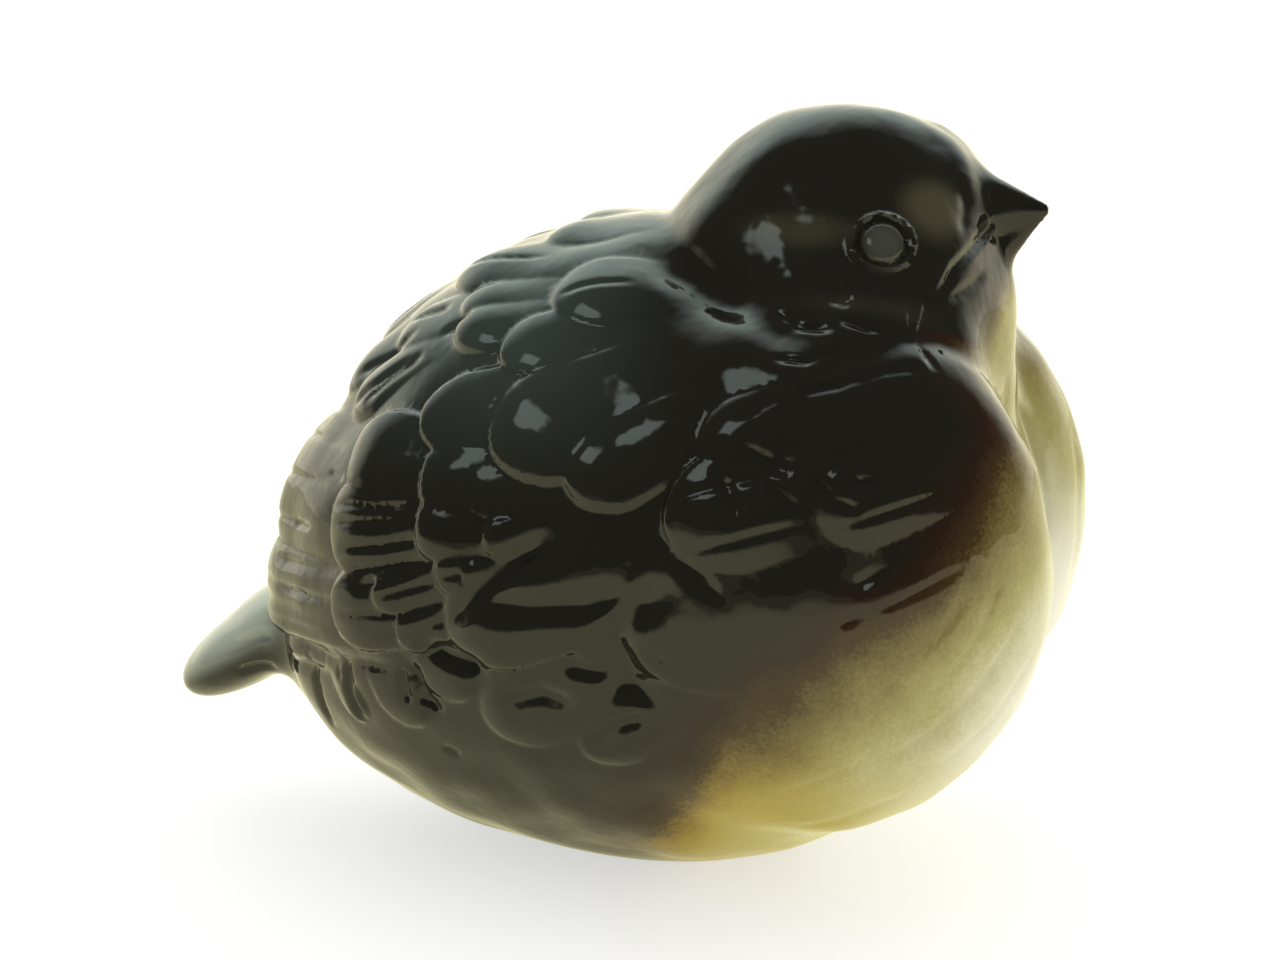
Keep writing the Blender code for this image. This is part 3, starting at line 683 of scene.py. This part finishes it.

# %% [markdown]
# Over the two borders lie a few soft spots of painted light: a greener back, lighter towards its top,
# and a paler tail, palest on top, both painted reflections of the bright backdrop; painted reflections
# in paler brown before the eye, behind it and on the cheek; a paler eyeball, also a painted reflection;
# and an olive painted shade in the parting of the breast.

# %% Soft patches of painted light
def hold(name, values):
    attribute = mesh.attributes.new(name, "FLOAT", "POINT")
    attribute.data.foreach_set("value", values.astype(np.float32))


def patch(middle, place, size):
    """Soft round spot on both sides, 1 at its middle. Its place is in angles and its size in degrees."""
    around, above = angles_of(points, middle)
    sideways = (around - place[0]) * np.cos(np.radians(above)) / size[0]
    return soft_ramp(np.hypot(sideways, (above - place[1]) / size[1]), 1.0, 0.3)


# place, size and share of the painted reflections, paler brown, before the eye, behind it and on the
# cheek
PAINTED_FACE_REFLECTIONS = [
    ((46, 11), (20, 16), 0.9),
    ((100, 3), (28, 8), 0.45),
    ((82, -22), (30, 9), 0.6),
]
painted_face_reflection = np.zeros(len(points))
for place, size, share in PAINTED_FACE_REFLECTIONS:
    painted_face_reflection = np.maximum(painted_face_reflection, patch(HEAD, place, size) * share)
# upper back, stronger higher up: a painted reflection of the backdrop, greener and lighter than the dark
# glaze
painted_back_reflection = soft_ramp(above, 12, 45) * soft_ramp(around, 70, 115) * (1 - on_head)
# the tail, palest where it faces up: a painted reflection of the backdrop, not the glaze's own colour
tail = soft_ramp(-points[:, 0], 48, 56) * soft_ramp(outwards[:, 2], -0.5, 0.6)
hold("past_border", past_border)
hold("belly", soft_ramp(above, -14, -40))
hold("painted_back_reflection", painted_back_reflection * 0.8)
hold("tail", tail * 0.8)
# paler brown before the eye, behind it and on the cheek: painted reflections in the glaze
hold("painted_face_reflection", painted_face_reflection * on_head)
# a paler, greyer eyeball: a painted reflection
hold("painted_eye_reflection", patch(HEAD, EYE, (10, 10)) * 0.55)
# olive in the parting of the breast: painted shade in the valley
hold("painted_parting_shade", patch(TORSO, (0, 12), (24, 32)) * (1 - on_head) * 0.55)
print("held on the mesh:", [attribute.name for attribute in mesh.attributes])

# %% [markdown]
# Slip casting leaves a shell: the clay dries against the mould, and the rest is poured out through a
# hole, which stays in the foot as the vent. The hollow is a smooth bag one wall inside the skin. It is
# blown up from the torso's middle until it is that far from the skin in every direction.

# %% The bag and the drill
WALL, VENT_RADIUS = 4.0, 4.5
VENT_PLACE = Vector((-7.5, 0, 0))
bag = bmesh.new()
bmesh.ops.create_icosphere(bag, subdivisions=4, radius=1)
rays = np.array([vert.co.normalized() for vert in bag.verts])
reach = np.full(len(rays), 20.0)
for _ in range(80):
    reach -= np.clip(skin_distance(TORSO + rays * reach[:, None]) + WALL, -2, 2) * 0.8
for vert, place in zip(bag.verts, TORSO + rays * reach[:, None]):
    vert.co = place
drill = bmesh.new()
bmesh.ops.create_cone(
    drill,
    cap_ends=True,
    segments=48,
    radius1=VENT_RADIUS,
    radius2=VENT_RADIUS,
    depth=WALL * 4,
    matrix=Matrix.Translation(VENT_PLACE),
)
print("the hollow reaches, mm:", reach.min().round(1), "to", reach.max().round(1))

# %% [markdown]
# Both cutters carry the bare clay, and the boolean gives the faces that it cuts the cutter's own
# material, so the inside and the vent are unglazed. The foot is bare too: a glazed foot would have
# stuck to the kiln's shelf. Before the cut, the even squares are thinned to fewer triangles where the
# skin is smooth, and they stay fine where it is carved.

# %% Cut the casting
SKIN_TRIANGLES = 188000
BARE_BELOW = 0.25
bare = bpy.data.materials.new("bare_clay")
glaze = bpy.data.materials.new("brown_glaze")
mesh.materials.clear()
mesh.materials.append(glaze)
mesh.materials.append(bare)
for skin_face in mesh.polygons:
    if skin_face.center.z < BARE_BELOW:
        skin_face.material_index = 1
bird = in_scene("glazed_bird", mesh)
fewer = bird.modifiers.new("fewer_faces", "DECIMATE")
fewer.ratio = SKIN_TRIANGLES / (2 * len(mesh.polygons))
for name, cutter_shape in (("hollow", bag), ("vent", drill)):
    cutter_mesh = bpy.data.meshes.new(name)
    cutter_shape.to_mesh(cutter_mesh)
    cutter_shape.free()
    cutter_mesh.materials.append(bare)
    cut = bird.modifiers.new(name, "BOOLEAN")
    cut.operation = "DIFFERENCE"
    cut.object = in_scene(name, cutter_mesh)
    cut.material_mode = "TRANSFER"
cast = baked(bird)
for name in ("hollow", "vent"):
    bpy.data.objects.remove(bpy.data.objects[name], do_unlink=True)

# %% [markdown]
# The mesh has been in millimetres so far. It becomes metres, like the rest of the frame, and is shaded
# smooth, with sharp edges only at the vent and wherever else the skin really turns a corner. It rides
# the one body that there is and takes the place of the plain solid.

# %% The finished mesh, in metres
SHARP_FROM = 50
bird.modifiers.clear()
bird.data = cast
cast.transform(Matrix.Scale(MM, 4))
cast.shade_smooth()
cast.set_sharp_from_angle(angle=math.radians(SHARP_FROM))
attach(bird, "root")
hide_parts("bird")
print("triangles:", sum(len(skin_face.vertices) - 2 for skin_face in cast.polygons))

# %% [markdown]
# The finish is a colour under a clear, very smooth glaze. A principled shader with a low roughness
# gives both at once, so no second layer is needed. A few helpers keep its tree readable: each makes a
# node, joins what it is given and hands back its result.

# %% Helpers for a material's tree
glaze.use_nodes = True
nodes, links = glaze.node_tree.nodes, glaze.node_tree.links


def node(kind, **settings):
    made = nodes.new(kind)
    for name, value in settings.items():
        setattr(made, name, value)
    return made


def feed(socket, value):
    """Sets a plain value on a socket, or joins another node's result to it."""
    if isinstance(value, bpy.types.NodeSocket):
        links.new(value, socket)
    else:
        socket.default_value = value


def maths(operation, *values):
    made = node("ShaderNodeMath", operation=operation)
    for socket, value in zip(made.inputs, values):
        feed(socket, value)
    return made.outputs[0]


def smooth_step(value, low, high):
    made = node("ShaderNodeMapRange", interpolation_type="SMOOTHSTEP")
    feed(made.inputs["Value"], value)
    feed(made.inputs["From Min"], low)
    feed(made.inputs["From Max"], high)
    return made.outputs["Result"]


def mixed(share, first, second):
    made = node("ShaderNodeMix", data_type="RGBA")
    # the node has an A and a B for each kind of data, and a name finds those of the kind in use
    for name, value in (("Factor", share), ("A", first), ("B", second)):
        feed(made.inputs[name], value)
    return made.outputs["Result"]


# %% Helpers that read the skin
where = node("ShaderNodeTexCoord").outputs["Object"]


def held(name):
    return node("ShaderNodeAttribute", attribute_name=name).outputs["Fac"]


def noise(scale, detail=2.0, roughness=0.5):
    made = node("ShaderNodeTexNoise")
    feed(made.inputs["Vector"], where)
    feed(made.inputs["Scale"], scale)
    feed(made.inputs["Detail"], detail)
    feed(made.inputs["Roughness"], roughness)
    return made.outputs["Fac"]


def ramp_of(share, low, high, stops):
    """Colours along a range of a value, blended from stop to stop."""
    made = node("ShaderNodeMapRange")
    feed(made.inputs["Value"], share)
    feed(made.inputs["From Min"], low)
    feed(made.inputs["From Max"], high)
    ramp = node("ShaderNodeValToRGB")
    feed(ramp.inputs["Fac"], made.outputs["Result"])
    band = ramp.color_ramp
    while len(band.elements) < len(stops):
        band.elements.new(0.5)
    for element, (place, colour) in zip(band.elements, stops):
        element.position = (place - low) / (high - low)
        element.color = (*colour, 1)
    return ramp.outputs["Color"]


# %% [markdown]
# The base is two runs of colour across the border, one for the breast and a yellower one for the
# belly: cream, mustard, umber, red-brown and the near-black of the back. Droplets of the spray make
# the border grainy, so a fine noise shifts the place on the run, and a broad one makes it wander.

# %% The sprayed colours
DARK = (0.011, 0.0095, 0.0065)
RED_BROWN = (0.02, 0.0095, 0.005)
UMBER = (0.05, 0.028, 0.009)
RUN_FROM, RUN_TO = -45, 20
# degrees past the border, and the colour there
BREAST_RUN = [
    (-38, (0.86, 0.84, 0.7)),
    (-26, (0.66, 0.63, 0.4)),
    (-16, (0.4, 0.36, 0.14)),
    (-8, (0.22, 0.175, 0.055)),
    (0, UMBER),
    (6, RED_BROWN),
    (13, DARK),
]
BELLY_RUN = [
    (-38, (0.7, 0.64, 0.34)),
    (-24, (0.52, 0.43, 0.12)),
    (-10, (0.42, 0.31, 0.045)),
    (-3, (0.24, 0.15, 0.025)),
    (1, UMBER),
    (5, RED_BROWN),
    (16, DARK),
]
speckle = maths("MULTIPLY", maths("SUBTRACT", noise(1800, 3, 0.7), 0.5), 8)
cloud = maths("MULTIPLY", maths("SUBTRACT", noise(90, 3), 0.5), 16)
sprayed = maths("ADD", held("past_border"), maths("ADD", speckle, cloud))
breast_paint = ramp_of(sprayed, RUN_FROM, RUN_TO, BREAST_RUN)
belly_paint = ramp_of(sprayed, RUN_FROM, RUN_TO, BELLY_RUN)
paint = mixed(held("belly"), breast_paint, belly_paint)

# %% [markdown]
# Each spot of painted light is laid over the run of colours, as strongly as its attribute says. The
# order
# matters a little: what comes last covers what lies under it.

# %% Painted reflections and shade over it
# colours of the painted reflections and of the painted shade in the breast's parting
PAINTED_LIGHT_TINTS = {
    # painted reflection of the backdrop on the upper back
    "painted_back_reflection": (0.036, 0.046, 0.038, 1),
    # painted reflection of the backdrop on the tail, pale grey-green
    "tail": (0.42, 0.46, 0.36, 1),
    # painted reflections on the face, paler brown
    "painted_face_reflection": (0.06, 0.052, 0.027, 1),
    # painted reflection on the eyeball
    "painted_eye_reflection": (0.075, 0.082, 0.06, 1),
    # painted shade in the parting of the breast, olive
    "painted_parting_shade": (0.2, 0.17, 0.04, 1),
}
for name, colour in PAINTED_LIGHT_TINTS.items():
    paint = mixed(held(name), paint, colour)
print("colours on the bird:", len(BREAST_RUN) + len(BELLY_RUN) + len(PAINTED_LIGHT_TINTS))

# %% [markdown]
# The waves in the mesh are broad. Glaze also has a finer unevenness, like the skin of an orange, too
# faint for a mesh, and a slight bump does it. The bare clay is a pale matt buff.

# %% Clear glaze and bare clay
shader = nodes["Principled BSDF"]
feed(shader.inputs["Base Color"], paint)
feed(shader.inputs["Roughness"], 0.05)
feed(shader.inputs["IOR"], 1.5)
ripple = node("ShaderNodeBump")
feed(ripple.inputs["Strength"], 0.35)
feed(ripple.inputs["Distance"], 0.0006)
feed(ripple.inputs["Height"], noise(170, 2))
feed(shader.inputs["Normal"], ripple.outputs["Normal"])
bare.use_nodes = True
clay_shader = bare.node_tree.nodes["Principled BSDF"]
feed(clay_shader.inputs["Base Color"], (0.68, 0.6, 0.47, 1))
feed(clay_shader.inputs["Roughness"], 0.85)
print("nodes in the glaze:", len(nodes))

# %% [markdown]
# The bird stands on a white sheet that glows a little, as on a light table. In the glaze the sheet
# shows warmer and ends a short way in front of the bird, where the room is dark. Is Glossy Ray tells
# the two apart, so the reflections can be right without more light on the bird.

# %% The sheet
SHEET_HALF = 3
SHEET_GLOW = 0.62
floor_shape = bmesh.new()
bmesh.ops.create_grid(floor_shape, x_segments=1, y_segments=1, size=SHEET_HALF)
floor_mesh = bpy.data.meshes.new("floor")
floor_shape.to_mesh(floor_mesh)
floor_shape.free()
floor = in_scene("floor", floor_mesh)
paper = bpy.data.materials.new("white_paper")
floor_mesh.materials.append(paper)
paper.use_nodes = True
nodes, links = paper.node_tree.nodes, paper.node_tree.links
table = nodes["Principled BSDF"].inputs
place = node("ShaderNodeSeparateXYZ")
feed(place.inputs[0], node("ShaderNodeTexCoord").outputs["Object"])
sheet = smooth_step(place.outputs["Y"], -0.5, -0.12)
mirrored = node("ShaderNodeLightPath").outputs["Is Glossy Ray"]
mirrored_colour = mixed(sheet, (0.1, 0.09, 0.06, 1), (0.42, 0.39, 0.25, 1))
mirrored_glow = mixed(sheet, (0.2, 0.18, 0.12, 1), (0.93, 0.89, 0.52, 1))
feed(table["Roughness"], 1)
feed(table["Base Color"], mixed(mirrored, (0.4, 0.4, 0.39, 1), mirrored_colour))
feed(table["Emission Color"], mixed(mirrored, (1, 1, 0.97, 1), mirrored_glow))
feed(table["Emission Strength"], SHEET_GLOW)
print("sheet, m:", floor.dimensions.x, "by", floor.dimensions.y)

# %% [markdown]
# No lamps are used: the whole room is the light. The camera sees plain white. Rough surfaces see a
# soft room, brighter behind the bird. The glaze sees a bright wall behind, a dark room in front and
# one window high up at the front left, which give the rims of light and the small panes in the photo.

# %% The room's directions
world = bpy.data.worlds.new("studio")
world.use_nodes = True
bpy.context.scene.world = world
nodes, links = world.node_tree.nodes, world.node_tree.links
direction = node("ShaderNodeTexCoord").outputs["Generated"]
VIEW_AROUND, VIEW_ABOVE = math.radians(14), math.radians(12)
WINDOW = Vector((-0.437, -0.533, 0.725))


def along(axis):
    made = node("ShaderNodeVectorMath", operation="DOT_PRODUCT")
    feed(made.inputs[0], direction)
    feed(made.inputs[1], axis)
    return made.outputs["Value"]


away = along((-math.sin(VIEW_AROUND), math.cos(VIEW_AROUND), 0))
height = along((0, 0, 1))
sill = WINDOW.cross(Vector((0, 0, 1))).normalized()
jamb = WINDOW.cross(sill).normalized()

# %% Wall, window and low light
WALL_LIGHT, LOW_LIGHT, DARK_ROOM, WINDOW_LIGHT = 1.7, 0.85, 0.08, 1.9
wall = maths("MULTIPLY", smooth_step(away, 0.1, 0.7), WALL_LIGHT)
low = maths("MULTIPLY", smooth_step(height, 0.2, 0.05), smooth_step(away, -0.1, 0.3))
pane_width = smooth_step(maths("ABSOLUTE", along(sill)), 0.2, 0.13)
pane_height = smooth_step(maths("ABSOLUTE", along(jamb)), 0.16, 0.1)
pane = maths("MULTIPLY", pane_width, pane_height)
pane = maths("MULTIPLY", pane, smooth_step(along(WINDOW), 0.5, 0.6))
room = maths("MAXIMUM", wall, maths("MULTIPLY", low, LOW_LIGHT))
room = maths("ADD", maths("MAXIMUM", room, DARK_ROOM), maths("MULTIPLY", pane, WINDOW_LIGHT))
soft_room = maths("ADD", 1.3, maths("MULTIPLY", away, 0.85))

# %% [markdown]
# Light Path tells the rays apart. The camera's own see a strength of 1, which is white. Those that
# left the glaze see the room with its window, and all others, which light the bird, the soft room.

# %% What each kind of ray sees
path = node("ShaderNodeLightPath")
seen = path.outputs["Is Camera Ray"]
shiny = path.outputs["Is Glossy Ray"]
rest = maths("SUBTRACT", maths("SUBTRACT", 1, seen), shiny)
in_glaze = maths("MULTIPLY", room, shiny)
strength = maths("ADD", seen, maths("ADD", in_glaze, maths("MULTIPLY", soft_room, rest)))
tint = mixed(smooth_step(height, 0.05, 0.75), (1, 0.95, 0.72, 1), (0.84, 1, 0.93, 1))
background = nodes["Background"].inputs
feed(background["Strength"], strength)
feed(background["Color"], mixed(shiny, (1, 1, 1, 1), tint))
print("nodes in the room:", len(nodes))

# %% [markdown]
# The camera stands a little towards the breast from the bird's right side, slightly above it, with a
# long lens, so that the beak and the tail are both drawn at nearly the same scale.

# %% Camera
CAMERA_DISTANCE = 0.4
AIM = Vector((-0.0047, 0, 0.0485))
camera_data = bpy.data.cameras.new("camera")
camera = in_scene("camera", camera_data)
camera_data.lens = 85
camera_data.sensor_width = 36
camera_data.clip_end = 10
back_to_camera = Vector(
    (
        math.sin(VIEW_AROUND) * math.cos(VIEW_ABOVE),
        -math.cos(VIEW_AROUND) * math.cos(VIEW_ABOVE),
        math.sin(VIEW_ABOVE),
    )
)
camera.location = AIM + back_to_camera * CAMERA_DISTANCE
camera.rotation_euler = back_to_camera.to_track_quat("Z", "Y").to_euler()
bpy.context.scene.camera = camera
bpy.context.scene.view_settings.view_transform = "Standard"
print("camera at, m:", [round(value, 3) for value in camera.location])
